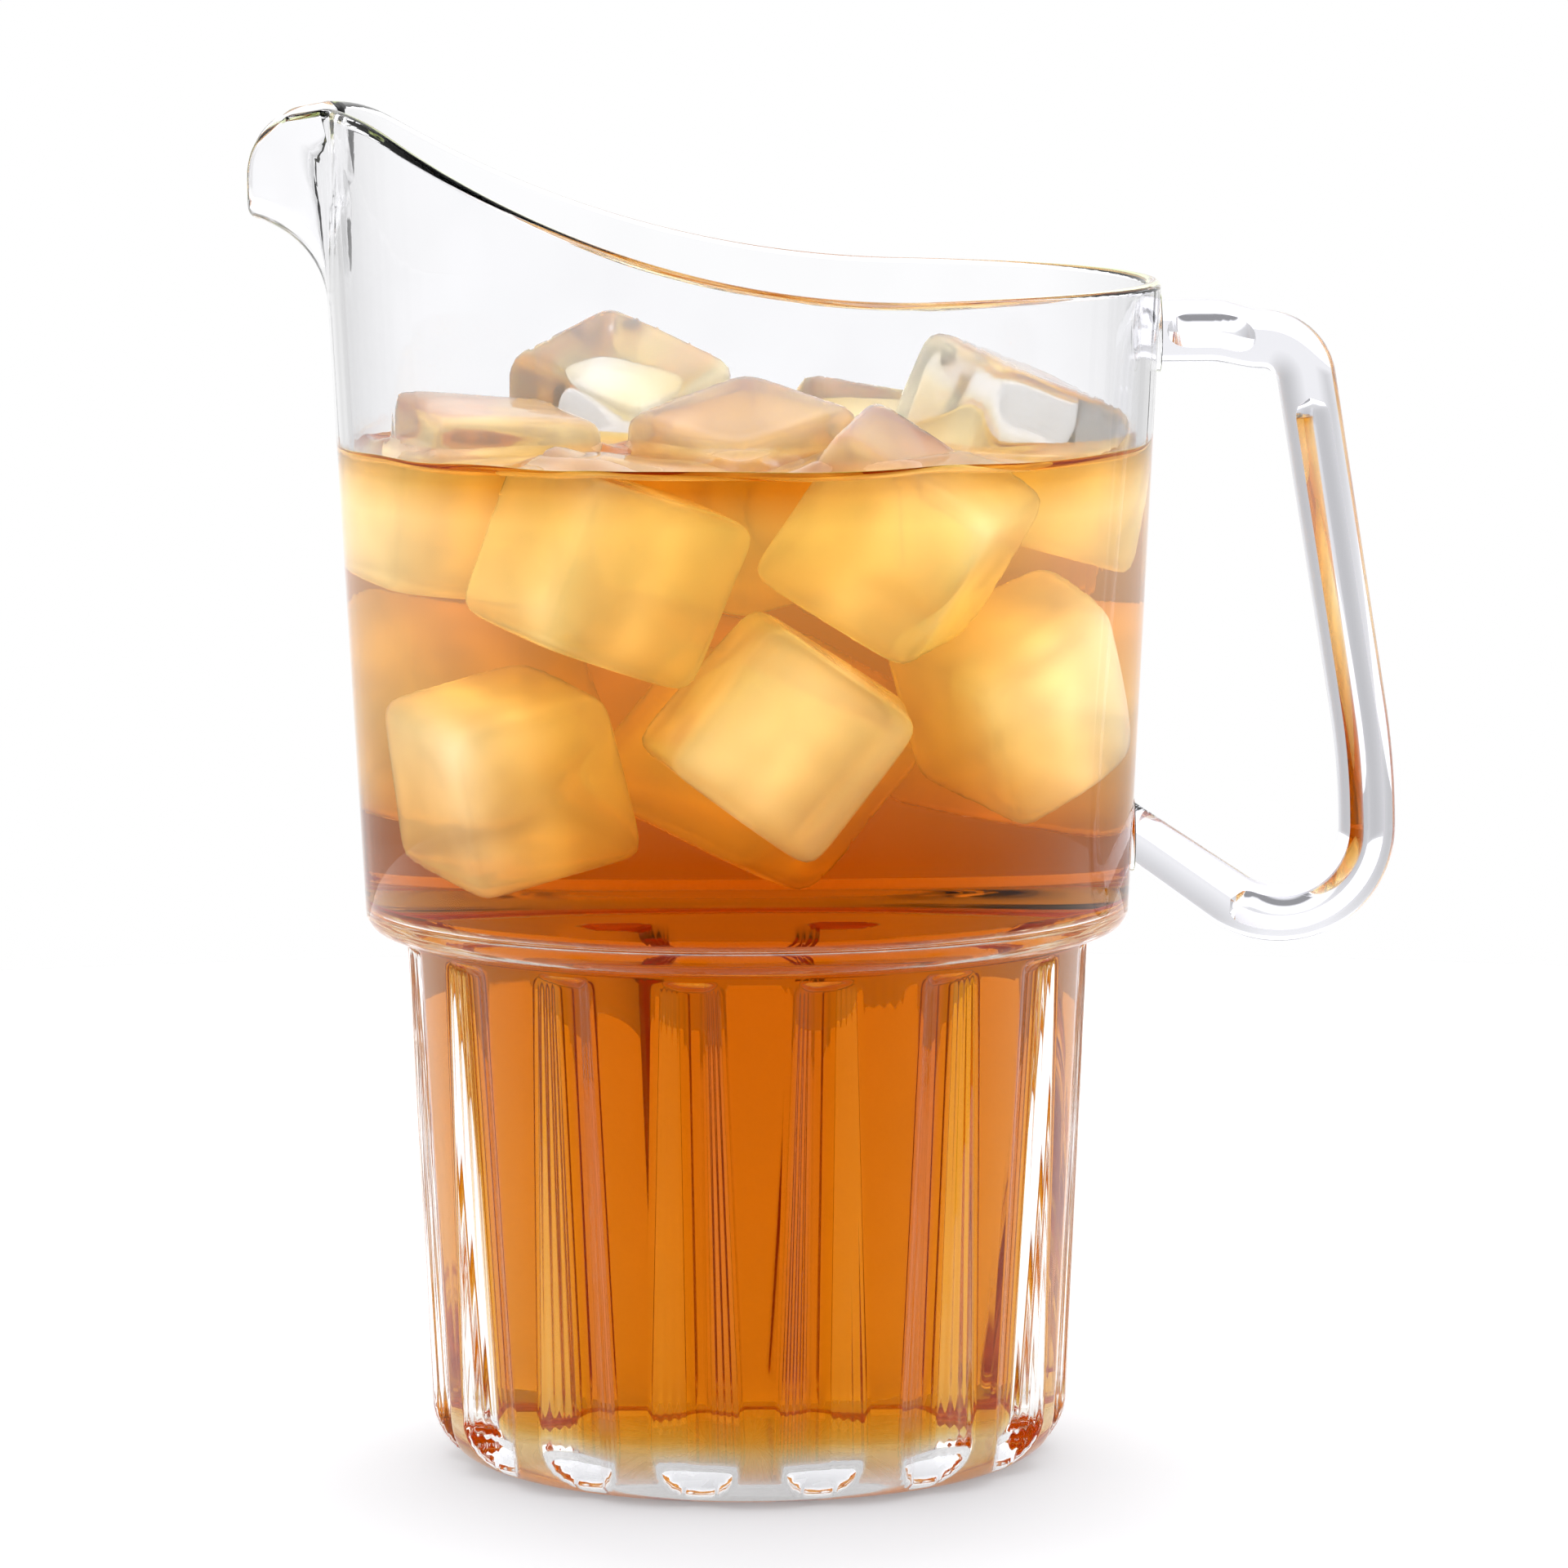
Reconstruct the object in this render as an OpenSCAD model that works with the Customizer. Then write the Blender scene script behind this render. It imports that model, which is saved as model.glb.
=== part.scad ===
// A clear moulded pitcher: a wide drum on a narrower fluted foot, with a pouring lip and a bar handle,
// and the iced drink that stands in it.
// Millimetres, +Z up. The origin is the centre of the base, on the table.
// The lip points to -X and the handle to +X.

/* [Drum] */
// Outer radius of the drum at its level rim
drum_r = 67.6; // [62:0.1:76]
// Height of the level rim above the table
rim_z = 192.8; // [175:0.1:215]
// Wall of the drum and the lip
wall = 2.6; // [2:0.1:3.4]
// Draft of the drum's outer wall, in degrees
draft = 3; // [1:0.1:4]
// Rounding of the shoulder, where the drum turns in to the ledge
shoulder_round = 3.2; // [1.5:0.1:4]

/* [Foot] */
// Height of the ledge under the drum
ledge_z = 87.3; // [75:0.1:89]
// How far the foot is set in from the drum at the ledge
ledge_step = 6.4; // [6:0.1:10]
// Thickness of the ledge
ledge_t = 3.5; // [2.5:0.1:5]
// Fillet between the foot and the ledge
ledge_fillet = 1.5; // [0.5:0.1:2]
// Draft of the foot's outer wall, in degrees
foot_draft = 2.7; // [1:0.1:4]
// Wall of the foot at the ledge, measured at a rib
foot_wall = 4; // [3.4:0.1:5]
// Draft of the cavity in the foot, in degrees
cavity_draft = 5.7; // [5:0.1:7]
// Rounding at the bottom of the cavity
cavity_round = 6; // [3:0.5:9]
// Rounding of the cavity where the foot opens into the drum
step_round = 2.5; // [1:0.1:3]
// Thickness of the base
floor_t = 5; // [4:0.1:8]
// Rounding of the base edge
base_round = 10; // [6:0.5:12]

/* [Flutes] */
// Number of flutes round the foot
flute_count = 16; // [12:1:18]
// Width of a flute's floor
flute_floor_w = 4; // [1:0.1:4.6]
// Sideways run of a flute's side for each millimetre of depth
flute_side = 1.5; // [1:0.1:1.6]
// Depth of a flute at its upper end
flute_top_depth = 1.9; // [0.5:0.1:2.2]
// Depth of a flute at the table
flute_foot_depth = 3.8; // [2:0.1:4.6]
// Plain band left between the flutes and the ledge
flute_top_gap = 2; // [2:0.5:20]

/* [Lip] */
// Reach of the lip from the axis
lip_x = 80.2; // [78.5:0.1:81]
// Distance of the two ears from the axis
ear_x = 69.5; // [68:0.1:71]
// Height of the ears above the level rim
ear_rise = 29; // [27:0.5:31]
// Where the rim starts to climb towards the ears, from the axis
sweep_x = 28; // [24:0.5:31]
// Radius of the climbing rim
sweep_r = 155; // [150:1:158]
// Radius of the flare under the lip
lip_round = 14.5; // [14:0.1:16]
// How far below the level rim the flare starts
lip_drop = 3.5; // [1:0.1:8]
// Half the width of the pouring channel at the ears
lip_half_w = 18; // [16:0.5:20]

/* [Handle] */
// Depth of the thumb bar's axis below the level rim
thumb_drop = 8.7; // [7.2:0.1:14]
// Diameter of the thumb bar
thumb_d = 10.2; // [8:0.1:12]
// Length of the thumb bar from its pad to its step down
thumb_l = 8.6; // [5:0.1:12]
// Step down from the thumb bar to the bend
thumb_step = 1.5; // [0.5:0.1:3]
// Diameter of the grip
grip_d = 9.6; // [7:0.1:12]
// Distance of the grip's lower end from the axis
grip_x = 101.5; // [97:0.5:120]
// Lean of the grip, in degrees
grip_lean = 9; // [2:0.5:10]
// Radius of the bend between the thumb bar and the grip
bend_r = 7.2; // [6.5:0.1:12]
// Radius of the bow at the lower end of the grip
bow_r = 128; // [80:1:200]
// Radius of the loop at the foot of the grip
loop_r = 14.3; // [10:0.1:16]
// Height of the loop's centre above the ledge
loop_rise = 15.5; // [14:0.5:24]
// Diameter of the loop
loop_d = 9.3; // [7:0.1:12]
// Climb of the strut from the loop to the wall, in degrees
strut_angle = 34.7; // [20:0.1:45]
// Diameter of the strut at the wall
strut_d = 8.4; // [7:0.1:10]
// Diameter of the pad behind the thumb bar
thumb_pad_d = 13.4; // [12.5:0.1:14]
// Diameter of the pad behind the strut
strut_pad_d = 12.6; // [12:0.1:16]
// How far the pads' faces stand out from the wall
pad_proud = 0.4; // [0.3:0.1:1.5]
// Diameter of the spigots that locate the handle in its pads
spigot_d = 5; // [3:0.5:6]
// Length of the spigots
spigot_l = 1.5; // [1:0.1:1.8]
// Clearance round the spigots
spigot_gap = 0.05; // [0.02:0.01:0.2]

/* [Drink] */
// Depth of the drink's surface below the level rim
headspace = 27; // [25:0.5:32]
// Clearance between the drink and the wall
drink_gap = 0.3; // [0.2:0.05:0.5]
// Width of an ice cube
ice_side = 29; // [24:0.5:32]
// Distance of a cube's worn corners from its centre
ice_reach = 19.2; // [17:0.1:19.4]
// Clearance between a cube and the drink round it
ice_gap = 0.2; // [0.1:0.05:0.3]
// Drink left between the cubes and the wall
ice_margin = 1.5; // [1:0.1:3]
// Depth of the floating cubes' centres below the surface
ice_sink = 7; // [4:0.5:10]

/* [Hidden] */
$fn = 96;
// How far cuts run past the faces they open
past = 10;
// Steps along a round stretch of a profile or of the handle
round_steps = 8;
// Sides of the handle's bar
bar_sides = 24;
// Steps round the crown across the lip, and round the rest of the rim
lip_steps = 16;
rim_steps = 64;
// Steps up each face of the crown
crown_steps = 8;
// How deep the crown's foot is let into the drum's wall, and the wall left on each side of it
crown_seat = 1;
crown_skin = 0.1;

foot_top_r = drum_r_at(ledge_z) - ledge_step;
ledge_in_z = ledge_z + ledge_t;
ear_z = rim_z + ear_rise;
lip_z = rim_z - lip_drop;
crown_z = lip_z - crown_seat;

// The climbing rim and the crest of the ears are arcs that touch, which fixes the crest's radius
nose_r = lip_x - ear_x;
sweep_span = sweep_x + ear_x;
crest_r = (sweep_span * sweep_span + pow(sweep_r - ear_rise, 2) - sweep_r * sweep_r) / (2 * ear_rise);
sweep_centre = [sweep_x, rim_z + sweep_r];
crest_centre = [-ear_x, ear_z - crest_r];
crest_touch = sweep_centre + (crest_centre - sweep_centre) * sweep_r / (sweep_r + crest_r);

// Angles round the crown, counted from the middle of the lip: close together across it, wider elsewhere
lip_span = asin((lip_half_w + wall) / drum_r_at(lip_z));
crown_angles = concat(
    [for (i = [0:lip_steps - 1]) lip_span * (2 * i / lip_steps - 1)],
    [for (i = [0:rim_steps - 1]) lip_span + (360 - 2 * lip_span) * i / rim_steps]
);

flute_top_z = ledge_z - flute_top_gap;
flute_top_r = foot_r_at(flute_top_z) - flute_top_depth;
flute_foot_r = foot_r_at(0) - flute_foot_depth;
flute_lean = atan((flute_top_r - flute_foot_r) / flute_top_z);

thumb_z = rim_z - thumb_drop;
thumb_face = drum_r_at(thumb_z) + pad_proud;
loop_centre = [grip_x - loop_r, ledge_z + loop_rise];
loop_end = loop_centre + loop_r * [-sin(strut_angle), -cos(strut_angle)];
bow_centre = [grip_x - bow_r, loop_centre.y];
bow_end = bow_centre + bow_r * [cos(grip_lean), sin(grip_lean)];
bend_z = thumb_z - thumb_step - bend_r;
grip_top_z = bend_z + bend_r * sin(grip_lean);
grip_top = [bow_end.x - (grip_top_z - bow_end.y) * tan(grip_lean), grip_top_z];
bend_centre = grip_top - bend_r * [cos(grip_lean), sin(grip_lean)];

// The strut's pad lies where the strut's axis meets the drafted wall
strut_on_wall = drum_r + pad_proud - (rim_z - loop_end.y - loop_end.x * tan(strut_angle)) * tan(draft);
strut_face = strut_on_wall / (1 + tan(draft) * tan(strut_angle));
strut_z = loop_end.y + (loop_end.x - strut_face) * tan(strut_angle);

// Stations along the handle: [place in the side view, direction across the bar, diameter].
// The end sections lie flat on the two pads.
handle_stations = concat(
    [[[thumb_face, thumb_z], [0, 1], thumb_d]],
    [[[thumb_face + thumb_l, thumb_z], [0, 1], thumb_d]],
    bend(bend_centre, bend_r, 90, grip_lean, grip_d),
    bend(bow_centre, bow_r, grip_lean, 0, loop_d),
    bend(loop_centre, loop_r, 0, -90 - strut_angle, loop_d),
    [[[strut_face, strut_z], [0, -1 / cos(strut_angle)], strut_d]]
);

drink_z = rim_z - headspace;
// Cubes float in rings round a middle cube, and some are shifted from there to lie against their neighbours
ice_pitch = 2 * (ice_reach + ice_gap);
ice_top_z = drink_z - ice_sink;
// Shift of each cube along X, Y and Z, in turn: the floating ones, then those under them
ice_shifts = [
    [0, 0, 6], [0, 0, -4], [0, 0, 7], [0, 0, 0], [0, 3, -9], [0, 2.5, -4], [0, 0, 0],
    [0, 3, 2], [-2, 0, 1], [0, 0, 3], [0, 0, -5], [4, -2.5, 4], [4, 4, 7.5], [0, 0, -4]
];
// Turn of each cube about X, Y and Z, in degrees
ice_turns = [
    [12, 20, 30], [40, 10, 25], [20, -15, 50], [6, 4, 20], [10, 18, 25], [10, 34, -9], [10, -12, 40],
    [35, 20, 5], [15, 30, 60], [45, 10, 20], [10, -16, 15], [6, 37, 11], [19, -25, 33], [30, 15, 70]
];
ice_layers = 1 + floor((ice_top_z - ledge_in_z - ice_reach - ice_gap) / ice_pitch);
ice_spots = [for (layer = [0:ice_layers - 1]) each ice_layer(layer)];
ice_names = [for (i = [1:len(ice_spots)]) str("ice_cube_", i)];

function drum_r_at(z) = drum_r - (rim_z - z) * tan(draft);

function foot_r_at(z) = foot_top_r - (ledge_z - z) * tan(foot_draft);

function cavity_r_at(z) = foot_top_r - foot_wall - (ledge_z - z) * tan(cavity_draft);

// Angles in even steps from one to another
function sweep(from, to) = [for (i = [0:round_steps]) from + (to - from) * i / round_steps];

// Points along an arc, counted in degrees from +X
function arc(centre, r, from, to) = [for (a = sweep(from, to)) centre + r * [cos(a), sin(a)]];

// Half section of the outside, from the base to the crown
function outer_profile() = concat(
    [[0, 0]],
    arc([foot_r_at(base_round) - base_round, base_round], base_round, -90, 0),
    arc([foot_top_r + ledge_fillet, ledge_z - ledge_fillet], ledge_fillet, 180, 90),
    arc(
        [drum_r_at(ledge_z + shoulder_round) - shoulder_round, ledge_z + shoulder_round],
        shoulder_round, -90, 0
    ),
    [[drum_r_at(crown_z), crown_z]],
    [[0, crown_z]]
);

// Half section of the cavity up to a height, drawn in all round by a clearance
function cavity_profile(inset, top) = concat(
    [[0, floor_t + inset]],
    arc(
        [cavity_r_at(floor_t + cavity_round) - cavity_round, floor_t + cavity_round],
        cavity_round - inset, -90, 0
    ),
    arc(
        [cavity_r_at(ledge_in_z - step_round) + step_round, ledge_in_z - step_round],
        step_round + inset, 180, 90
    ),
    arc(
        [drum_r_at(ledge_in_z + step_round) - wall - step_round, ledge_in_z + step_round],
        step_round - inset, -90, 0
    ),
    [[drum_r_at(top) - wall - inset, top]],
    [[0, top]]
);

// How far a quarter round of radius r has run out at height t above its start
function flare(t, r) = t <= 0 ? 0 : t >= r ? r : r - sqrt(r * r - t * t);

// A point of the crown's wall, drawn in by an inset: the drum's wall, pushed out to -X by the flare.
// The flare starts higher away from the middle, by a parabola, which makes the pouring channel.
function wall_point(angle, z, inset) =
    let (
        r = drum_r_at(z) - inset,
        across = r * sin(angle),
        rise = (ear_rise + lip_drop) * pow(across / (lip_half_w - inset), 2),
        out = cos(angle) > 0 ? flare(z - lip_z - rise, lip_round + inset) : 0
    )
    [-r * cos(angle) - out, across, z];

// Height of the rim in the side view: level, climb, crest and nose of the ears, and nothing past the lip
function rim_at(x) =
    x >= sweep_x ? rim_z
    : x >= crest_touch.x ? sweep_centre.y - sqrt(sweep_r * sweep_r - pow(x - sweep_x, 2))
    : x >= -ear_x ? crest_centre.y + sqrt(crest_r * crest_r - pow(x + ear_x, 2))
    : x > -lip_x ? ear_z - nose_r + sqrt(nose_r * nose_r - pow(x + ear_x, 2))
    : 0;

// Height at which the crown's wall reaches the rim, found by halving
function rim_height(angle, inset, low = crown_z, high = ear_z, halvings = 30) =
    let (z = (low + high) / 2, under = z < rim_at(wall_point(angle, z, inset).x))
    halvings == 0 ? z : rim_height(angle, inset, under ? z : low, under ? high : z, halvings - 1);

// One face of the crown in section, from its foot to the rim, in steps that shorten towards the rim
function crown_face(angle, inset) =
    let (foot = crown_z - crown_seat, rise = rim_height(angle, inset) - foot)
    [for (i = [0:crown_steps]) wall_point(angle, foot + rise * (1 - pow(1 - i / crown_steps, 2)), inset)];

// The crown's section: its outer face going up, then its inner face going down
function crown_section(angle) =
    let (inner = crown_face(angle, wall - crown_skin))
    concat(crown_face(angle, crown_skin), [for (i = [crown_steps:-1:0]) inner[i]]);

// Stations of a bar bent round an arc of the side view
function bend(centre, r, from, to, d) = [
    for (a = sweep(from, to)) let (across = [cos(a), sin(a)]) [centre + r * across, across, d]
];

// The ring of points round a station of the handle
function bar_ring(place, across, d) = [
    for (i = [0:bar_sides - 1])
        let (t = 360 * i / bar_sides, out = d / 2 * cos(t) * across)
        [place.x + out.x, -d / 2 * sin(t), place.y + out.y]
];

// Places of the cubes in one layer: [x, y, z of the layer]
function ice_layer(layer) =
    let (
        z = ice_top_z - layer * ice_pitch,
        low = max(z - ice_reach, ledge_in_z + step_round),
        ring_r = drum_r_at(low) - wall - ice_margin - ice_reach,
        count = floor(180 / asin((ice_reach + ice_gap) / ring_r)),
        ring = [
            for (i = [0:count - 1])
                let (a = (i + layer / 2) * 360 / count)
                [ring_r * cos(a), ring_r * sin(a), z]
        ]
    )
    ring_r < ice_pitch ? ring : concat(ring, [[0, 0, z]]);

// A solid through sections with equal numbers of points, capped at both ends or closed into a ring
module loft(sections, closed = false) {
    count = len(sections);
    across = len(sections[0]);
    sides = [
        for (j = [0:closed ? count - 1 : count - 2], i = [0:across - 1])
            let (
                a = j * across + i,
                b = j * across + (i + 1) % across,
                c = (j + 1) % count * across + (i + 1) % across,
                d = (j + 1) % count * across + i
            )
            each [[a, c, b], [a, d, c]]
    ];
    first_cap = [for (i = [0:across - 1]) i];
    last_cap = [for (i = [1:across]) count * across - i];
    polyhedron([for (section = sections) each section], concat(sides, closed ? [] : [first_cap, last_cap]));
}

// Rim and lip: the drum's wall carried up to the rim
module crown() {
    loft([for (angle = crown_angles) crown_section(angle)], closed = true);
}

// One flute: a channel with sloping sides along a floor that leans with the foot
module flute_cut() {
    reach = 3 * flute_foot_depth;
    half = flute_floor_w / 2;
    translate([flute_foot_r, 0, 0])
        rotate([0, flute_lean, 0])
            translate([0, 0, -past])
                linear_extrude(past + flute_top_z / cos(flute_lean))
                    polygon([
                        [0, -half], [0, half],
                        [reach, half + reach * flute_side], [reach, -half - reach * flute_side]
                    ]);
}

// A round pad on the wall, with its flat face at a distance from the axis
module pad(face, z, d) {
    translate([face - pad_proud - wall / 2, 0, z])
        rotate([0, 90, 0])
            cylinder(h = pad_proud + wall / 2, d = d);
}

// A spigot behind a pad's face, and as far into the bar before it, or its socket when a clearance is given
module spigot(face, z, gap) {
    translate([face, 0, z])
        rotate([0, 90, 0])
            cylinder(h = 2 * (spigot_l + gap), d = spigot_d + 2 * gap, center = true);
}

// An ice cube in its place, grown all round by a clearance
module ice_block(i, gap) {
    translate(ice_spots[i] + ice_shifts[i % len(ice_shifts)])
        rotate(ice_turns[i % len(ice_turns)])
            intersection() {
                cube(ice_side + 2 * gap, center = true);
                sphere(ice_reach + gap);
            }
}

// Drum, fluted foot and lip, moulded in one
module body() {
    color([0.9, 0.91, 0.95, 0.4]) {
        difference() {
            union() {
                rotate_extrude()
                    polygon(outer_profile());
                pad(thumb_face, thumb_z, thumb_pad_d);
                pad(strut_face, strut_z, strut_pad_d);
            }
            rotate_extrude()
                polygon(cavity_profile(0, crown_z + past));
            for (i = [0:flute_count - 1])
                rotate([0, 0, (i + 0.5) * 360 / flute_count])
                    flute_cut();
            spigot(thumb_face, thumb_z, spigot_gap);
            spigot(strut_face, strut_z, spigot_gap);
        }
        crown();
    }
}

// Bar handle, bonded to the body's two pads
module handle() {
    color([0.93, 0.93, 0.97, 0.5]) {
        loft([for (station = handle_stations) bar_ring(station[0], station[1], station[2])]);
        spigot(thumb_face, thumb_z, 0);
        spigot(strut_face, strut_z, 0);
    }
}

// The drink, with a pocket round each cube
module drink() {
    color([0.85, 0.42, 0.05, 0.8])
        difference() {
            rotate_extrude()
                polygon(cavity_profile(drink_gap, drink_z));
            for (i = [0:len(ice_spots) - 1])
                ice_block(i, ice_gap);
        }
}

module ice_cube(i) {
    color([0.96, 0.93, 0.86, 0.7])
        ice_block(i, 0);
}

body();
handle();
drink();
for (i = [0:len(ice_names) - 1])
    ice_cube(i);
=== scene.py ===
"""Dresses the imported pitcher: clear moulded body, bar handle, iced drink, ice blocks and a white studio."""

import math

import bpy
import numpy as np
from mathutils import Matrix, Vector


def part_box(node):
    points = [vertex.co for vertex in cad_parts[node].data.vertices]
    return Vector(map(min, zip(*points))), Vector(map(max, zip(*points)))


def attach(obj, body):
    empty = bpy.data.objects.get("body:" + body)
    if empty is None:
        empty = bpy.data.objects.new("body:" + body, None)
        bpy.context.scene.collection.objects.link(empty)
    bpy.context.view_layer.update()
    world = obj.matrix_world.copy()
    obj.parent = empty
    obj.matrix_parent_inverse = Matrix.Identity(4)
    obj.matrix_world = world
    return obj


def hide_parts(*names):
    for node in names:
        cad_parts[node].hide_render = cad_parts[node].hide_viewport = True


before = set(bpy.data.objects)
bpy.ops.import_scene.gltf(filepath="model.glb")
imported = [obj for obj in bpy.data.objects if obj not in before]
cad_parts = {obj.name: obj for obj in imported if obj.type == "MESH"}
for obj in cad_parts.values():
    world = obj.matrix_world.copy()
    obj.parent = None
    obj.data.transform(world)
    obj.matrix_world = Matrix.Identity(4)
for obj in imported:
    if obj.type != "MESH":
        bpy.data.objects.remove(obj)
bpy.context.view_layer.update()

bl_info = {
    "name": "Iced Drink Pitcher",
    "version": (1, 0, 0),
    "blender": (4, 5, 0),
    "location": "View3D > Sidebar > Pitcher",
    "description": "Builds a clear moulded pitcher with an iced drink, ready to render on a white studio floor",
    "category": "Add Mesh",
}


def length(name, description, default):
    """A size in metres."""
    return bpy.props.FloatProperty(
        name=name, description=description, default=default, unit="LENGTH", precision=4
    )


def angle(name, description, degrees):
    """An angle, given in degrees and kept in radians."""
    return bpy.props.FloatProperty(
        name=name, description=description, default=math.radians(degrees), unit="ROTATION"
    )


def number(name, description, default):
    """A plain number."""
    return bpy.props.FloatProperty(name=name, description=description, default=default, precision=4)


def colour(name, description, default):
    """A linear colour."""
    return bpy.props.FloatVectorProperty(
        name=name, description=description, default=default, subtype="COLOR", size=3, min=0, max=1
    )


class BodySizes(bpy.types.PropertyGroup):
    """Sizes of the drum and the foot."""

    drum_r: length("Drum radius", "Outer radius of the drum at its level rim", 0.0676)
    rim_z: length("Rim height", "Height of the level rim above the table", 0.1928)
    wall: length("Wall", "Wall of the drum and the lip", 0.0026)
    draft: angle("Draft", "Draft of the drum's outer wall", 3)
    shoulder_round: length("Shoulder round", "Rounding where the drum turns in to the ledge", 0.0032)
    ledge_z: length("Ledge height", "Height of the ledge under the drum", 0.0873)
    ledge_step: length("Ledge step", "How far the foot is set in from the drum", 0.0064)
    ledge_t: length("Ledge thickness", "Thickness of the ledge", 0.0035)
    ledge_fillet: length("Ledge fillet", "Fillet between the foot and the ledge", 0.0015)
    foot_draft: angle("Foot draft", "Draft of the foot's outer wall", 2.7)
    foot_wall: length("Foot wall", "Wall of the foot at the ledge", 0.004)
    cavity_draft: angle("Cavity draft", "Draft of the cavity in the foot", 5.7)
    cavity_round: length("Cavity round", "Rounding at the bottom of the cavity", 0.006)
    step_round: length("Step round", "Rounding where the foot opens into the drum", 0.0025)
    floor_t: length("Base thickness", "Thickness of the base", 0.005)
    base_round: length("Base round", "Rounding of the base edge", 0.01)


class FluteSizes(bpy.types.PropertyGroup):
    """Sizes of the flutes round the foot."""

    count: bpy.props.IntProperty(name="Count", description="Number of flutes", default=16, min=3)
    floor_w: length("Floor width", "Width of a flute's floor", 0.004)
    side: number("Side run", "Sideways run of a flute's side for each unit of depth", 1.5)
    top_depth: length("Top depth", "Depth of a flute at its upper end", 0.0019)
    foot_depth: length("Foot depth", "Depth of a flute at the table", 0.0038)
    top_gap: length("Top gap", "Plain band between the flutes and the ledge", 0.002)
    run_out: length("Run-out", "Height over which a flute fades out at its upper end", 0.0025)
    ridges: bpy.props.IntProperty(name="Ridges", description="Fine ridges along each side of a flute", default=4)
    ridge_h: length("Ridge height", "Height of the fine ridges at the table", 0.00004)


class LipSizes(bpy.types.PropertyGroup):
    """Sizes of the rim and the pouring lip."""

    lip_x: length("Lip reach", "Reach of the lip from the axis", 0.0802)
    ear_x: length("Ear distance", "Distance of the two ears from the axis", 0.0695)
    ear_rise: length("Ear rise", "Height of the ears above the level rim", 0.029)
    sweep_x: length("Sweep start", "Where the rim starts to climb, from the axis", 0.028)
    sweep_r: length("Sweep radius", "Radius of the climbing rim", 0.155)
    lip_round: length("Lip round", "Radius of the flare under the lip", 0.0145)
    lip_drop: length("Lip drop", "How far below the level rim the flare starts", 0.0035)
    half_w: length("Half width", "Half the width of the pouring channel at the ears", 0.018)


class HandleSizes(bpy.types.PropertyGroup):
    """Sizes of the bar handle and its pads."""

    thumb_drop: length("Thumb drop", "Depth of the thumb bar's axis below the level rim", 0.0087)
    thumb_d: length("Thumb bar", "Diameter of the thumb bar", 0.0102)
    thumb_l: length("Thumb length", "Length of the thumb bar up to its step down", 0.0086)
    thumb_step: length("Thumb step", "Step down from the thumb bar to the bend", 0.0015)
    grip_d: length("Grip", "Diameter of the grip", 0.0096)
    grip_x: length("Grip distance", "Distance of the grip's lower end from the axis", 0.1015)
    grip_lean: angle("Grip lean", "Lean of the grip", 9)
    bend_r: length("Bend radius", "Radius of the bend above the grip", 0.0072)
    bow_r: length("Bow radius", "Radius of the bow at the lower end of the grip", 0.128)
    loop_r: length("Loop radius", "Radius of the loop at the foot of the grip", 0.0143)
    loop_rise: length("Loop rise", "Height of the loop's centre above the ledge", 0.0155)
    loop_d: length("Loop", "Diameter of the loop", 0.0093)
    strut_angle: angle("Strut angle", "Climb of the strut from the loop to the wall", 34.7)
    strut_d: length("Strut", "Diameter of the strut at the wall", 0.0084)
    thumb_pad_d: length("Thumb pad", "Diameter of the pad behind the thumb bar", 0.0134)
    strut_pad_d: length("Strut pad", "Diameter of the pad behind the strut", 0.0126)
    pad_proud: length("Pad height", "How far the pads stand out from the wall", 0.0004)
    pad_edge: length("Pad edge", "Rounding of a pad's edge", 0.0002)
    joint_gap: length("Joint gap", "Gap at the joint between a pad and the bar", 0.00004)
    hollow_w: length("Hollow", "Width of the hollow channel inside the bar", 0.0036)
    hollow_deep: number("Hollow depth", "Depth of the channel along Y for each unit of width", 1.7)
    thumb_hollow: length("Thumb hollow", "Length of the channel in the thumb bar", 0.0155)
    grip_hollow: length("Grip hollow", "Start of the channel in the grip below the bend", 0.0035)


class DrinkSizes(bpy.types.PropertyGroup):
    """Sizes of the drink."""

    headspace: length("Headspace", "Depth of the drink's surface below the level rim", 0.027)
    overlap: length("Overlap", "How far touching clear pieces run into each other", 0.0001)
    climb: length("Climb", "How far the drink climbs at the wall", 0.002)
    climb_w: length("Climb width", "Width of the strip that climbs at the wall", 0.0022)
    ice_climb: length("Ice climb", "How far the drink climbs round the ice", 0.0024)
    ice_climb_w: length("Ice climb width", "Width of the strip that climbs round the ice", 0.003)
    ripple: length("Ripple", "Height of the slow ripples on the drink", 0.0003)


class IceSizes(bpy.types.PropertyGroup):
    """Sizes of the ice blocks."""

    half_side: length("Half side", "Half the width of a block", 0.0142)
    squareness: number("Squareness", "Power of the block's rounded cube; higher is squarer", 10)
    uneven: number("Unevenness", "Share by which a block swells and shrinks", 0.02)


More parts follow.
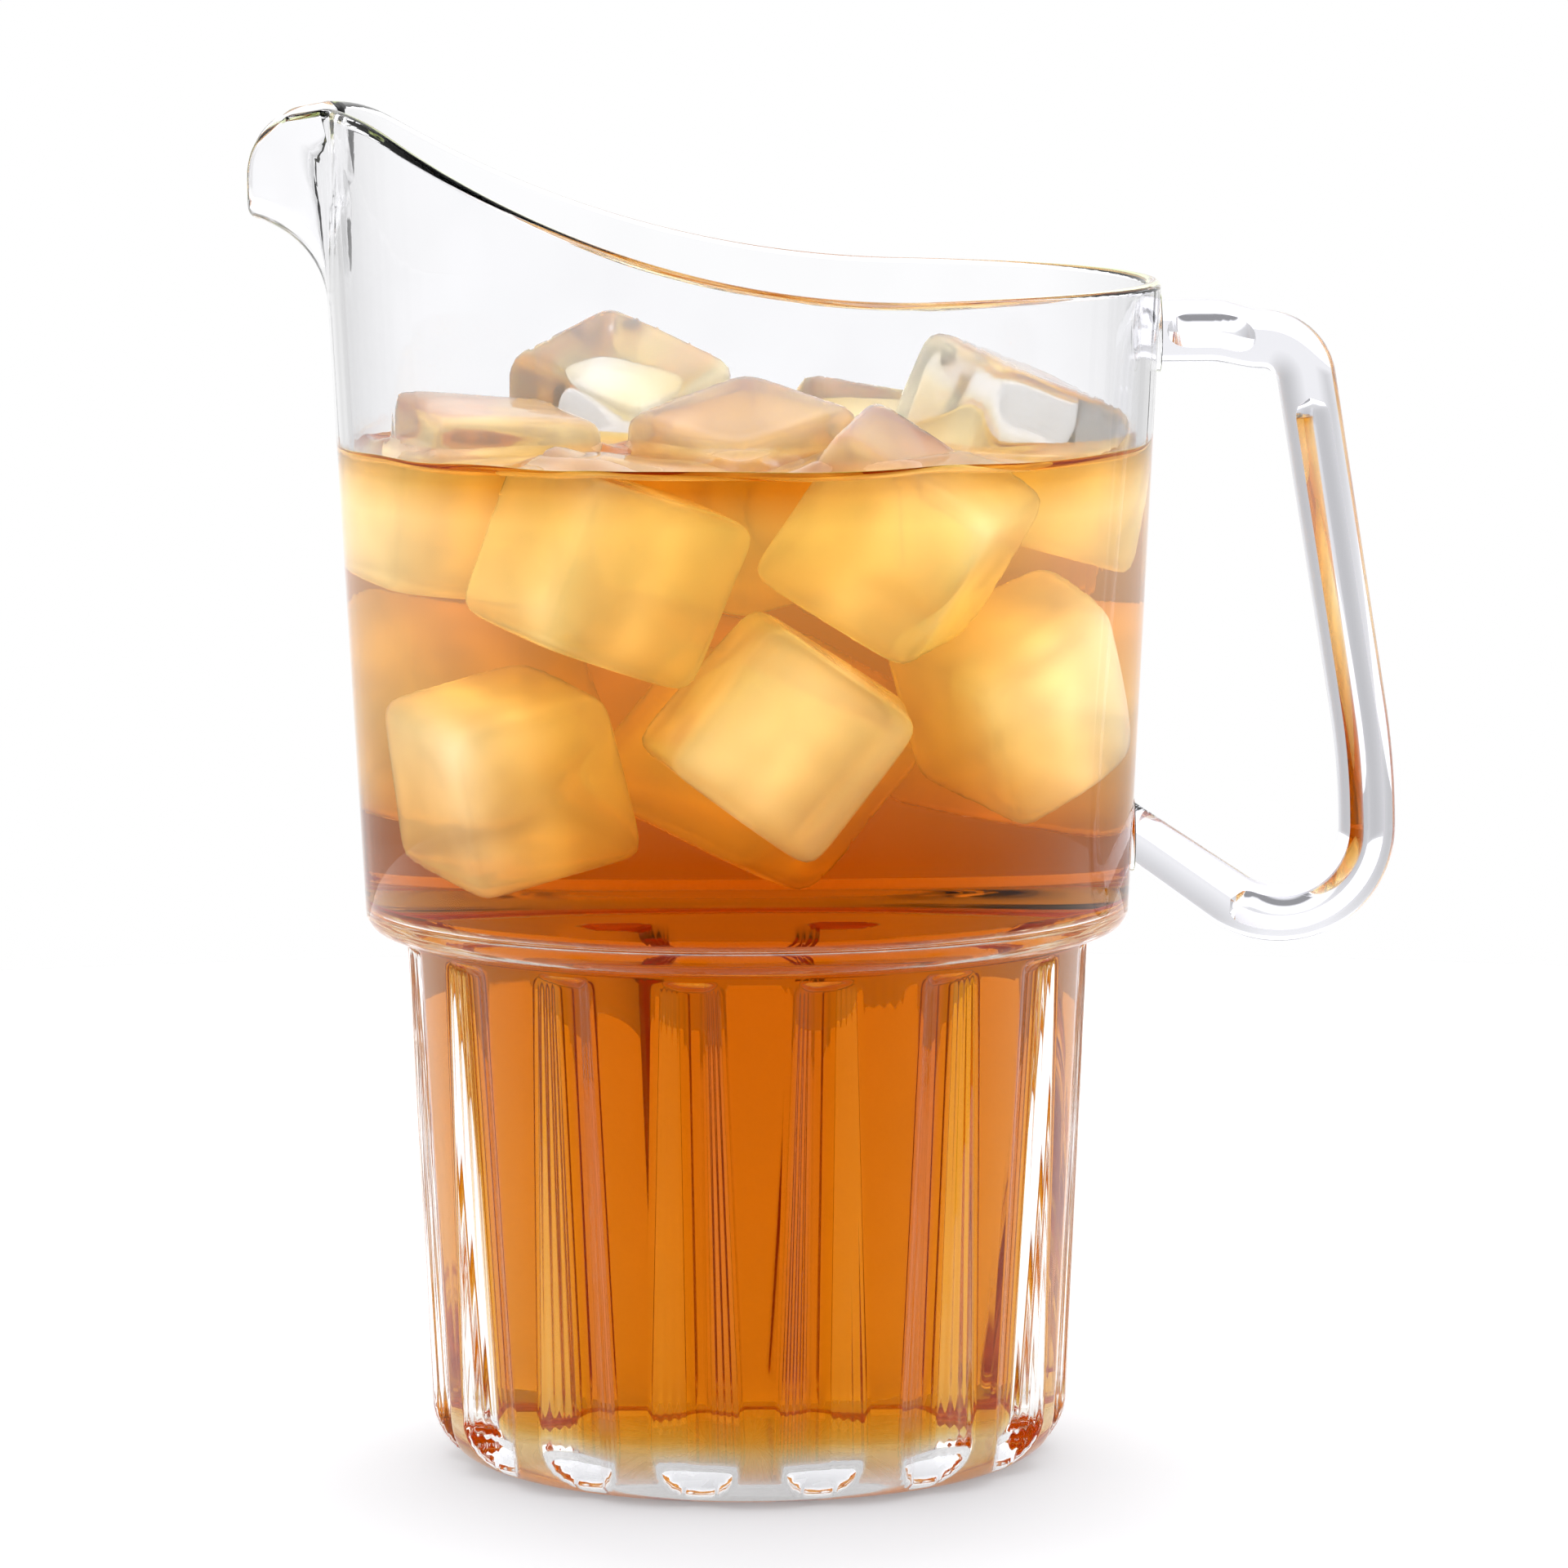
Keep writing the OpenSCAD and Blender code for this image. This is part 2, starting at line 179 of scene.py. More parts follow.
class Finish(bpy.types.PropertyGroup):
    """Colours and finishes of the materials, and the colours and strength of their painted glow."""

    plastic_tint: colour("Plastic", "Tint of the clear plastic", (0.985, 0.985, 0.995))
    # Painted shade: the handle's tint is the plastic's tint dimmed, so the handle shows greyer
    shaded_handle_tint: colour("Handle", "Tint of the clear handle", (0.88, 0.88, 0.92))
    plastic_ior: number("Plastic IOR", "Refraction of the clear plastic", 1.57)
    drink_tint: colour("Drink surface", "Tint of the drink's surface", (1, 0.99, 0.97))
    drink_clear: colour("Drink", "Colour that the drink lets through", (0.905, 0.69, 0.001))
    drink_density: number("Drink density", "Strength of the drink's colour for each metre", 74)
    # Painted glow in the drink: emission colours that stand in for the light that cloudy melt water spreads
    painted_melt_glow: colour("Painted melt glow", "Light that cloudy melt water spreads high in the drum", (0.14, 0.17, 0.05))
    painted_side_glow: colour("Painted side glow", "That light near the sides of the drum", (0.28, 0.3, 0.22))
    wet_shine: number("Wet shine", "Strength of reflections at the drink's surface", 0.02)
    plastic_shine: number("Plastic shine", "Strength of the plastic's reflections seen straight on", 0.02)
    drink_ior: number("Drink IOR", "Refraction of the drink", 1.33)
    ice_tint: colour("Ice", "Colour of the ice", (1, 0.995, 0.98))
    ice_ior: number("Ice IOR", "Refraction of the ice", 1.31)
    ice_shine: number("Ice shine", "Strength of the ice's reflections seen straight on", 0.3)
    ice_cloud: length("Ice cloud", "How far light spreads in the cloudy ice", 0.008)
    ice_clear: number("Ice clearness", "Share of light that passes straight through the ice", 0.75)
    # Painted glow in the ice: emission colours and strength that stand in for the light the ice gathers in the
    # drink
    painted_glow_amber: colour("Painted amber glow", "Colour of the light that ice gathers in the drink", (0.62, 0.35, 0.11))
    painted_glow_cream: colour("Painted creamy glow", "Colour of that light in the cloudy band", (0.7, 0.54, 0.32))
    painted_glow_pale: colour("Painted pale glow", "Colour of that light near the sides of the drum", (1, 0.88, 0.74))
    painted_glow_strength: number("Painted glow strength", "Strength of the light that ice gathers in the drink", 0.72)


class StageSizes(bpy.types.PropertyGroup):
    """Camera and studio."""

    yaw: angle("Yaw", "Turn of the camera round the pitcher", -2)
    roll: angle("Roll", "Roll of the camera", -0.25)
    distance: length("Distance", "Distance of the camera from the axis", 1.43)
    eye_z: length("Eye height", "Height of the camera", 0.2797)
    aim_x: length("Aim across", "Sideways place that the camera looks at", 0.0061)
    aim_z: length("Aim height", "Height that the camera looks at", 0.1105)
    lens: number("Lens", "Focal length in millimetres", 202.6)
    floor_r: length("Floor radius", "Radius of the round floor", 0.6)
    floor_tint: colour("Floor", "Colour of the matt floor", (0.85, 0.85, 0.86))
    # Painted shadow: the floor glows less next to the pitcher
    painted_shadow_glow: number("Painted shadow glow", "Strength of the floor's glow next to the pitcher", 0.2)
    far_glow: number("Far glow", "Strength of the floor's glow well away from the pitcher", 0.42)


SETTINGS = {
    "pitcher_body": BodySizes,
    "pitcher_flutes": FluteSizes,
    "pitcher_lip": LipSizes,
    "pitcher_handle": HandleSizes,
    "pitcher_drink": DrinkSizes,
    "pitcher_ice": IceSizes,
    "pitcher_finish": Finish,
    "pitcher_stage": StageSizes,
}

# How far below the lip's flare the rings of the crown start
CROWN_DROP = 0.002

# Steps along the thumb bar, its step down, the bend, the grip, the bow, the loop and the strut
THUMB_STEPS, EASE_STEPS, BEND_STEPS, GRIP_STEPS, BOW_STEPS, LOOP_STEPS, STRUT_STEPS = 7, 6, 24, 10, 14, 44, 7

# Slow ripples on the drink: turns of the wave for each metre along X and Y, in radians, and where it starts
RIPPLES = ((170, 60, 0), (-80, 190, 1), (120, -230, 2))

# Light of the room above its plain white walls: how far up a ring starts or ends, and how bright it is there
ROOM_RINGS = ((0.45, 1.8), (0.64, 1.8), (0.71, 0.35), (0.81, 0.35), (0.88, 1.3), (1.0, 1.3))

# Where the drink's painted glow rises or fades: distance from the axis, height, depth under the level, distance
# sideways
DRINK_GLOW_WALL, DRINK_GLOW_RISE, DRINK_GLOW_END, DRINK_GLOW_SIDE = (0.055, 0.059), (0.105, 0.16), (0.002, 0.008), (0.03, 0.062)

# Where the ice's painted glow rises or fades: depth under the level, distance sideways, height of the slow waviness
GLOW_END, GLOW_SIDE, GLOW_WAVE = (-0.001, 0.004), (0.028, 0.055), (0.35, 0.65)

# Turn of each ice block about X, Y and Z, in degrees, as in the part's source
ICE_TURNS = (
    (12, 20, 30), (40, 10, 25), (20, -15, 50), (6, 4, 20), (10, 18, 25), (10, 34, -9), (10, -12, 40),
    (35, 20, 5), (15, 30, 60), (45, 10, 20), (10, -16, 15), (6, 37, 11), (19, -25, 33), (30, 15, 70),
)


def arc(centre, radius, first, last, count):
    """Points on a circle about centre, in even steps from one angle to another, in degrees."""
    a = np.radians(np.linspace(first, last, count))
    return np.array(centre) + radius * np.stack([np.cos(a), np.sin(a)], axis=1)


def run(first, last, count):
    """Points inside the straight line between two points, without its ends."""
    t = np.linspace(0, 1, count + 2)[1:-1, None]
    return np.array(first) * (1 - t) + np.array(last) * t


def circles(radius, turn, z):
    """Rings of points round the axis, from radii, angles and heights."""
    x, y = radius * np.cos(turn), radius * np.sin(turn)
    return np.stack([x, y, np.broadcast_to(z, x.shape)], axis=-1)


def skin(name, rings):
    """A closed mesh over an array of rings of points.

    Each ring is joined to the next by quads, and the first and last ring are closed by a fan to their middle.
    """
    rows, columns = rings.shape[:2]
    index = np.arange(rows * columns).reshape(rows, columns)
    right = np.roll(index, -1, axis=1)
    quads = np.stack([index[:-1], right[:-1], right[1:], index[1:]], axis=-1).reshape(-1, 4)
    middle = np.full(columns, rows * columns)
    fans = np.concatenate([
        np.stack([right[0], index[0], middle], axis=-1),
        np.stack([index[-1], right[-1], middle + 1], axis=-1),
    ])
    points = np.concatenate([rings.reshape(-1, 3), rings[[0, -1]].mean(axis=1)])
    mesh = bpy.data.meshes.new(name)
    mesh.from_pydata(points.tolist(), [], quads.tolist() + fans.tolist())
    mesh.update()
    return mesh


def smooth(mesh, degrees=40):
    """Smooth shading that keeps edges sharper than an angle."""
    mesh.shade_smooth()
    mesh.set_sharp_from_angle(angle=math.radians(degrees))


def show(mesh):
    """Puts a mesh into the scene as an object at the origin."""
    piece = bpy.data.objects.new(mesh.name, mesh)
    bpy.context.scene.collection.objects.link(piece)
    return piece


def combine(piece, tool, operation):
    """Joins a closed tool mesh to a piece, or cuts it out of it, and removes the tool."""
    helper = show(tool)
    modifier = piece.modifiers.new("combine", "BOOLEAN")
    modifier.object = helper
    modifier.operation = operation
    modifier.solver = "MANIFOLD"
    graph = bpy.context.evaluated_depsgraph_get()
    result = bpy.data.meshes.new_from_object(piece.evaluated_get(graph), depsgraph=graph)
    piece.modifiers.clear()
    plain, name = piece.data, piece.data.name
    piece.data = result
    bpy.data.meshes.remove(plain)
    result.name = name
    bpy.data.objects.remove(helper)
    bpy.data.meshes.remove(tool)
    if not len(result.polygons):
        raise RuntimeError(f"{piece.name} is empty after the {operation.lower()}")


def finish_piece(piece, material, body, slot, *nodes):
    """Shades a piece, gives it its material, ties it to its body and hides the nodes it stands for. The slot is not
    used.
    """
    smooth(piece.data)
    piece.data.materials.clear()
    piece.data.materials.append(material)
    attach(piece, body)
    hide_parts(*nodes)


class Vessel:
    """The pitcher's section and rim as functions of height, from the settings."""

    def __init__(self, scene):
        self.body = scene.pitcher_body
        self.lip = scene.pitcher_lip
        self.flutes = scene.pitcher_flutes
        b, p = self.body, self.lip
        self.foot_top_r = self.drum(b.ledge_z) - b.ledge_step
        self.ledge_in_z = b.ledge_z + b.ledge_t
        self.ear_z = b.rim_z + p.ear_rise
        self.lip_z = b.rim_z - p.lip_drop
        self.crown_z = self.lip_z - CROWN_DROP
        self.flute_top_z = b.ledge_z - self.flutes.top_gap
        self.level = b.rim_z - scene.pitcher_drink.headspace

    def drum(self, z):
        """Outer radius of the drum: a cone."""
        return self.body.drum_r - (self.body.rim_z - z) * math.tan(self.body.draft)

    def foot(self, z):
        """Outer radius of the foot at a rib: a cone."""
        return self.foot_top_r - (self.body.ledge_z - z) * math.tan(self.body.foot_draft)

    def cavity(self, z):
        """Radius of the cavity in the foot: a steeper cone."""
        b = self.body
        return self.foot_top_r - b.foot_wall - (b.ledge_z - z) * math.tan(b.cavity_draft)

    def flute_depth(self, z):
        """Depth of a flute, which grows evenly towards the table."""
        f = self.flutes
        return f.foot_depth + (f.top_depth - f.foot_depth) * z / self.flute_top_z

    def cavity_section(self, inset, top, rows):
        """Half section of the cavity from its floor up to a height, drawn in by an inset."""
        b = self.body
        low, step = b.floor_t + b.cavity_round, b.step_round
        under, over = self.ledge_in_z - step, self.ledge_in_z + step
        bottom = arc((self.cavity(low) - b.cavity_round, low), b.cavity_round - inset, -90, 0, 9)
        inner = arc((self.cavity(under) + step, under), step + inset, 180, 90, 7)
        outer = arc((self.drum(over) - b.wall - step, over), step - inset, -90, 0, 7)
        end = (self.drum(top) - b.wall - inset, top)
        return np.concatenate([
            run((0, bottom[0, 1]), bottom[0], 4), bottom, run(bottom[-1], inner[0], 8), inner, outer,
            run(outer[-1], end, rows), [end],
        ])

    def flare(self, t, radius):
        """How far a quarter round has run out at a height above its start."""
        t = np.clip(t, 0, radius)
        return radius - np.sqrt(radius * radius - t * t)

    def wall_point(self, turn, z, inset):
        """A point of the crown's wall: the drum's cone, pushed out to -X by the flare under the lip.

        The flare starts higher away from the middle, by a parabola, which makes the pouring channel.
        """
        p = self.lip
        r = self.drum(z) - inset
        across = r * np.sin(turn)
        rise = (p.ear_rise + p.lip_drop) * (across / (p.half_w - inset)) ** 2
        out = np.where(np.cos(turn) < 0, self.flare(z - self.lip_z - rise, p.lip_round + inset), 0)
        return np.stack([r * np.cos(turn) - out, across, z], axis=-1)

    def rim(self, x, inset):
        """Height of the rim in the side view: level, climbing arc, crest arc and nose arc, drawn in by an inset."""
        p, rim_z = self.lip, self.body.rim_z
        nose_r = p.lip_x - p.ear_x
        span = p.sweep_x + p.ear_x
        crest_r = (span**2 + (p.sweep_r - p.ear_rise) ** 2 - p.sweep_r**2) / (2 * p.ear_rise)
        touch_x = p.sweep_x - span * (p.sweep_r + inset) / (p.sweep_r + crest_r)

        def height(offset, radius):
            return np.sqrt(np.maximum(radius * radius - offset * offset, 0))

        return np.select(
            [x >= p.sweep_x, x >= touch_x, x >= -p.ear_x, x > inset - p.lip_x],
            [
                rim_z - inset + 0 * x,
                rim_z + p.sweep_r - height(x - p.sweep_x, p.sweep_r + inset),
                self.ear_z - crest_r + height(x + p.ear_x, crest_r - inset),
                self.ear_z - nose_r + height(x + p.ear_x, nose_r - inset),
            ],
            0,
        )

    def crown_top(self, turn, inset, rim_inset):
        """Height at which the crown's wall meets the rim, for a row of angles, found by halving."""
        low = np.full_like(turn, self.crown_z)
        high = np.full_like(turn, self.ear_z)
        for _ in range(40):
            z = (low + high) / 2
            under = z < self.rim(self.wall_point(turn, z, inset)[..., 0], rim_inset)
            low, high = np.where(under, z, low), np.where(under, high, z)
        return low


def flute_columns(vessel, z):
    """Angles round the foot at each height, how deep in a flute each column lies, and the fine ridges.

    One flute has half a rib, a side, the floor, a side and half a rib; the columns keep to these as the flute
    widens downwards. Depth is 0 on a rib and 1 on the floor, and falls evenly along a side. The ridges are a sine
    wave along each side.
    """
    f = vessel.flutes
    rib, side, floor = np.arange(4) / 4, np.arange(16) / 16, np.arange(2) / 2
    none = [0 * rib, 0 * side, 0 * floor, 0 * side, 0 * rib]
    to_pitch = np.concatenate([rib - 1, *none[1:4], rib])
    to_edge = np.concatenate([-rib, side - 1, none[2], side, 1 - rib])
    to_floor = np.concatenate([none[0], -side, 2 * floor - 1, 1 - side, none[4]])
    depth = np.concatenate([none[0], side, 1 + none[2], 1 - side, none[4]])
    z = np.clip(z, 0, vessel.flute_top_z)[:, None]
    deep = vessel.flute_depth(z)
    radius = vessel.foot(z)
    half_pitch = math.pi / f.count
    one = (
        half_pitch * to_pitch
        + (f.floor_w / 2 + deep * f.side) / radius * to_edge
        + f.floor_w / 2 / radius * to_floor
    )
    starts = (np.arange(f.count) + 0.5) * 2 * half_pitch
    turn = (one[:, None, :] + starts[None, :, None]).reshape(len(z), -1)
    wave = np.sin(2 * math.pi * f.ridges * side)
    ridge = np.concatenate([none[0], wave, none[2], wave, none[4]])
    return turn, np.tile(depth, f.count), np.tile(ridge, f.count)


def body_rings(vessel):
    """Rings over the whole body: up the outside from the base, over the rim and down the inside to the floor.

    Below the crown a ring is a circle of the section's radius, cut in by the flutes. Through the crown the rings
    lie between a level circle and the rim line, and the rim is a half round between the outer and inner wall.
    """
    b, f = vessel.body, vessel.flutes
    base = arc((vessel.foot(b.base_round) - b.base_round, b.base_round), b.base_round, -90, 0, 12)
    fillet = arc(
        (vessel.foot_top_r + b.ledge_fillet, b.ledge_z - b.ledge_fillet), b.ledge_fillet, 180, 90, 7
    )
    shoulder_z = b.ledge_z + b.shoulder_round
    shoulder = arc((vessel.drum(shoulder_z) - b.shoulder_round, shoulder_z), b.shoulder_round, -90, 0, 9)
    crown_z = vessel.crown_z
    run_out = (vessel.foot(vessel.flute_top_z - f.run_out), vessel.flute_top_z - f.run_out)
    outside = np.concatenate([
        run((0, 0), base[0], 3), base, run(base[-1], run_out, 12), run(run_out, fillet[0], 9), fillet,
        run(fillet[-1], shoulder[0], 2), shoulder, run(shoulder[-1], (vessel.drum(crown_z), crown_z), 4),
    ])
    radius, height = outside.T
    turn, depth, ridge = flute_columns(vessel, height)
    fade = np.clip((vessel.flute_top_z - height) / f.run_out, 0, 1)
    deep = vessel.flute_depth(height) * np.sqrt(1 - (1 - fade) ** 2)
    plain = np.where(height < b.ledge_z - b.ledge_fillet, vessel.foot(height), 1)[:, None]
    grooved = plain - deep[:, None] * (depth + f.ridge_h / f.foot_depth * ridge)
    outer = circles(np.minimum(radius[:, None], grooved), turn, height[:, None])

    top_turn = turn[-1]
    bead = b.wall / 2
    share = 1 - (1 - np.linspace(0, 1, 16)[:, None]) ** 1.6
    faces = []
    for inset in (0, b.wall):
        top = vessel.crown_top(top_turn, inset, bead)
        rows = crown_z + (top - crown_z) * share
        faces.append(vessel.wall_point(np.broadcast_to(top_turn, rows.shape), rows, inset))
    outer_wall, inner_wall = faces
    middle = (outer_wall[-1] + inner_wall[-1]) / 2
    half = (outer_wall[-1] - inner_wall[-1]) / 2
    along = (outer_wall[-1] - outer_wall[-2]) + (inner_wall[-1] - inner_wall[-2])
    along /= np.linalg.norm(along, axis=-1, keepdims=True)
    bow = np.linspace(0, math.pi, 9)[1:-1, None, None]
    rim = middle + half * np.cos(bow) + along * bead * np.sin(bow)

    inside = vessel.cavity_section(0, crown_z, 6)[:-1][::-1]
    inner = circles(inside[:, :1], top_turn, inside[:, 1:])
    return np.concatenate([outer, outer_wall, rim, inner_wall[::-1], inner])


def bar_rings(place, across, diameter, sides=48, deep=1):
    """Rings round a bar: a circle at each place of the side view, in the plane of its direction across and Y.

    Deep stretches the circle along Y, and four sides make it a diamond.
    """
    t = np.linspace(0, 2 * math.pi, sides, endpoint=False)
    out = diameter[:, None] / 2 * np.cos(t)
    return np.stack([
        place[:, :1] + out * across[:, :1],
        np.broadcast_to(-deep * diameter[:, None] / 2 * np.sin(t), out.shape),
        place[:, 1:] + out * across[:, 1:],
    ], axis=-1)


class Bar:
    """The handle's axis in the side view and where its ends meet the wall, from the settings."""

    def __init__(self, scene, vessel):
        h, b = scene.pitcher_handle, scene.pitcher_body
        self.sizes = h
        slope, climb = math.tan(b.draft), math.tan(h.strut_angle)
        self.thumb_z = b.rim_z - h.thumb_drop
        self.thumb_face = vessel.drum(self.thumb_z) + h.pad_proud
        self.loop = np.array([h.grip_x - h.loop_r, b.ledge_z + h.loop_rise])
        self.loop_end = self.loop - h.loop_r * np.array([math.sin(h.strut_angle), math.cos(h.strut_angle)])
        lean = np.array([math.cos(h.grip_lean), math.sin(h.grip_lean)])
        self.bow = np.array([h.grip_x - h.bow_r, self.loop[1]])
        bow_end = self.bow + h.bow_r * lean
        bend_z = self.thumb_z - h.thumb_step - h.bend_r
        top_z = bend_z + h.bend_r * lean[1]
        grip_top = np.array([bow_end[0] - (top_z - bow_end[1]) * math.tan(h.grip_lean), top_z])
        self.bend = grip_top - h.bend_r * lean
        end = self.loop_end
        on_wall = b.drum_r + h.pad_proud - (b.rim_z - end[1] - end[0] * climb) * slope
        self.strut_face = on_wall / (1 + slope * climb)
        self.strut_z = end[1] + (end[0] - self.strut_face) * climb

    def stations(self):
        """Places along the bar, directions across it and its diameters.

        Thumb bar, an easy step down, bend, straight grip, bow, loop and strut; the ends lie flat on the pads.
        """
        h = self.sizes
        lean, strut = math.degrees(h.grip_lean), math.degrees(h.strut_angle)
        step_x = self.thumb_face + h.thumb_l
        start = self.thumb_face + h.joint_gap
        thumb = np.linspace((start, self.thumb_z), (step_x, self.thumb_z), THUMB_STEPS)
        ease = np.linspace(0, 1, EASE_STEPS + 2)[1:-1]
        bend_top = self.bend + (0, h.bend_r)
        easing = ease * ease * (3 - 2 * ease)
        step = np.stack([
            step_x + (bend_top[0] - step_x) * ease, self.thumb_z + (bend_top[1] - self.thumb_z) * easing
        ], axis=1)
        bend = arc(self.bend, h.bend_r, 90, lean, BEND_STEPS)
        bow = arc(self.bow, h.bow_r, lean, 0, BOW_STEPS)
        grip = run(bend[-1], bow[0], GRIP_STEPS)
        loop = arc(self.loop, h.loop_r, 0, -90 - strut, LOOP_STEPS)[1:]
        face = (self.strut_face + h.joint_gap, self.strut_z)
        strut_run = np.concatenate([run(loop[-1], face, STRUT_STEPS - 1), [face]])
        turns = np.concatenate([
            np.full(len(thumb) + len(step), 90.0), np.linspace(90, lean, BEND_STEPS), np.full(len(grip), lean),
            np.linspace(lean, 0, BOW_STEPS), np.linspace(0, -90 - strut, LOOP_STEPS)[1:],
        ])
        across = np.stack([np.cos(np.radians(turns)), np.sin(np.radians(turns))], axis=1)
        last = np.array([0, -1 / math.cos(h.strut_angle)])
        share = (np.arange(len(strut_run)) + 1)[:, None] / len(strut_run)
        across = np.concatenate([across, across[-1] * (1 - share) + last * share])
        diameter = np.concatenate([
            np.full(len(thumb), h.thumb_d), h.thumb_d + (h.grip_d - h.thumb_d) * easing,
            np.full(len(bend), h.grip_d), np.linspace(h.grip_d, h.loop_d, len(grip) + 2)[1:-1],
            np.full(len(bow) + len(loop), h.loop_d), h.loop_d + (h.strut_d - h.loop_d) * share[:, 0],
        ])
        return np.concatenate([thumb, step, bend, grip, bow, loop, strut_run]), across, diameter

    def hollow_rings(self):
        """The hollow channels inside the bar: one in the thumb bar, one from the grip to the strut.

        Each is a diamond carried along the bar's axis, with corners across the bar and along Y. Its width rises
        and falls as a quarter circle at the ends.
        """
        h = self.sizes
        place, across, _ = self.stations()
        travel = np.concatenate([[0], np.cumsum(np.linalg.norm(np.diff(place, axis=0), axis=1))])
        grip_start = travel[THUMB_STEPS + EASE_STEPS + BEND_STEPS - 1] + h.grip_hollow
        strut_start = travel[-STRUT_STEPS - 1]
        thumb_start, thumb_taper, grip_taper = 0.001, 0.004, 0.003
        tubes = []
        for first, last, taper in (
            (thumb_start, h.thumb_hollow, thumb_taper), (grip_start, strut_start, grip_taper)
        ):
            along = np.linspace(first, last, 100)
            middle, side = (
                np.stack([np.interp(along, travel, line) for line in lines.T], axis=1) for lines in (place, across)
            )
            end = np.clip(np.minimum(along - first, last - along) / taper, 0, 1)
            width = h.hollow_w * (0.05 + 0.95 * np.sqrt(1 - (1 - end) ** 2))
            tubes.append(bar_rings(middle, side, width, 4, h.hollow_deep))
        return tubes

    def pad_rings(self, face, z, diameter, wall):
        """A round pad on the wall: circles along X, with a rounded front edge."""
        h = self.sizes
        edge = arc((face - h.pad_edge, diameter / 2 - h.pad_edge), h.pad_edge, 90, 0, 5)
        section = np.concatenate([[(face - h.pad_proud - wall / 2, diameter / 2)], edge])
        place = np.stack([section[:, 0], np.full(len(section), z)], axis=1)
        across = np.tile((0.0, 1.0), (len(section), 1))
        return bar_rings(place, across, 2 * section[:, 1], 64)


def ice_places():
    """Middle and turn of every ice block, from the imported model's boxes and the turns of the source."""
    places = []
    for number_, turns in enumerate(ICE_TURNS, 1):
        low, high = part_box(f"ice_cube_{number_}")
        x, y, z = (Matrix.Rotation(math.radians(t), 3, a) for t, a in zip(turns, "XYZ"))
        places.append((np.array((low + high) / 2), np.array(z @ y @ x)))
    return places


def ice_rings(sizes, place, turn, seed, inset=0, rows=48, columns=80):
    """One ice block: a rounded cube, swollen unevenly.

    The distance from the middle in each direction is the half side over the power mean of the direction, times
    one plus a few slow sine waves whose phases come from the seed.
    """
    tilt = np.linspace(0, math.pi, rows + 2)[1:-1, None]
    spin = np.linspace(0, 2 * math.pi, columns, endpoint=False)
    way = np.stack([np.sin(tilt) * np.cos(spin), np.sin(tilt) * np.sin(spin), -np.cos(tilt) + 0 * spin], axis=-1)
    power = sizes.squareness
    reach = (sizes.half_side - inset) / (np.abs(way) ** power).sum(axis=-1) ** (1 / power)
    random = np.random.default_rng(seed)
    waves = random.uniform(1.5, 3.5, (4, 3)) * random.choice((-1, 1), (4, 3))
    phases = random.uniform(0, 2 * math.pi, 4)
    swell = np.sin(way @ waves.T + phases).mean(axis=-1)
    return (way * (reach * (1 + sizes.uneven * swell))[..., None]) @ turn.T + place


def store_cloud_and_painted_light(mesh, sizes, place, turn):
    """Stores how cloudy a block is at each point, with painted light worked in, as a point attribute that sets the
    ice's painted glow.

    In the block's own axes, over its half side, a bell curve of X makes a cloudy band round the middle, and the
    cloud thins out where the second largest distance nears 1, which is along the edges. Faces that look up to the
    left get more of the painted glow than those that look down, which paints light falling from above.
    """
    points, normals = np.empty(len(mesh.vertices) * 3), np.empty(len(mesh.vertices) * 3)
    mesh.vertices.foreach_get("co", points)
    mesh.vertices.foreach_get("normal", normals)
    local = np.abs((points.reshape(-1, 3) - place) @ turn) / sizes.half_side
    band_w, edge_from, edge_w, light_from = 0.3, 0.6, 0.35, (-0.35, -0.1, 0.93)
    band = np.exp(-((local[:, 0] / band_w) ** 2))
    edge = np.clip((np.sort(local, axis=1)[:, 1] - edge_from) / edge_w, 0, 1)
    # Painted light: faces that look up to the left get a brighter painted glow, as if lit from above
    facing = normals.reshape(-1, 3) @ light_from
    cloud = (0.5 + 0.5 * band) * (1 - 0.5 * edge * edge) * (0.85 + 0.15 * facing)
    mesh.attributes.new("cloud", "FLOAT", "POINT").data.foreach_set("value", cloud)


def drink_rings(vessel, scene, places, rows=64, columns=256):
    """Rings over the drink: up the cavity's section, then in over the surface to its middle.

    The surface is level, with slow ripples, and climbs by a falling exponential of the distance to the wall and
    to each ice block that stands through it.
    """
    d, ice = scene.pitcher_drink, scene.pitcher_ice
    level = vessel.level
    section = vessel.cavity_section(-d.overlap, level, 14)[:-1]
    turn = np.linspace(0, 2 * math.pi, columns, endpoint=False)
    sides = circles(section[:, :1], turn, section[:, 1:])
    edge_r = vessel.drum(level) - vessel.body.wall + d.overlap
    share = (1 - np.linspace(0, 1, rows)[:-1, None]) ** 0.75
    radius = edge_r * (1 - (1 - share) ** 1.3)
    top = circles(radius, turn, level)
    x, y = top[..., 0], top[..., 1]
    at_wall = np.exp(-(edge_r - radius) / d.climb_w)
    rest = np.ones_like(x)
    for place, spin in places:
        local = np.abs((top - place) @ spin)
        gap = (local ** ice.squareness).sum(axis=-1) ** (1 / ice.squareness) - ice.half_side
        rest *= 1 - np.exp(-np.maximum(gap, 0) / d.ice_climb_w)
    slow = sum(np.sin(along * x + across * y + start) for along, across, start in RIPPLES)
    top[..., 2] += d.climb * (at_wall - 0.5) + d.ice_climb * (1 - rest) + d.ripple * slow / len(RIPPLES)
    return np.concatenate([sides, top])


def new_material(name):
    """An empty node material, and its output node."""
    material = bpy.data.materials.new(name)
    material.use_nodes = True
    material.node_tree.nodes.clear()
    return material, material.node_tree.nodes.new("ShaderNodeOutputMaterial")


def add(tree, *kinds):
    """New shader nodes of the kinds named."""
    return [tree.nodes.new(f"ShaderNode{kind}") for kind in kinds]


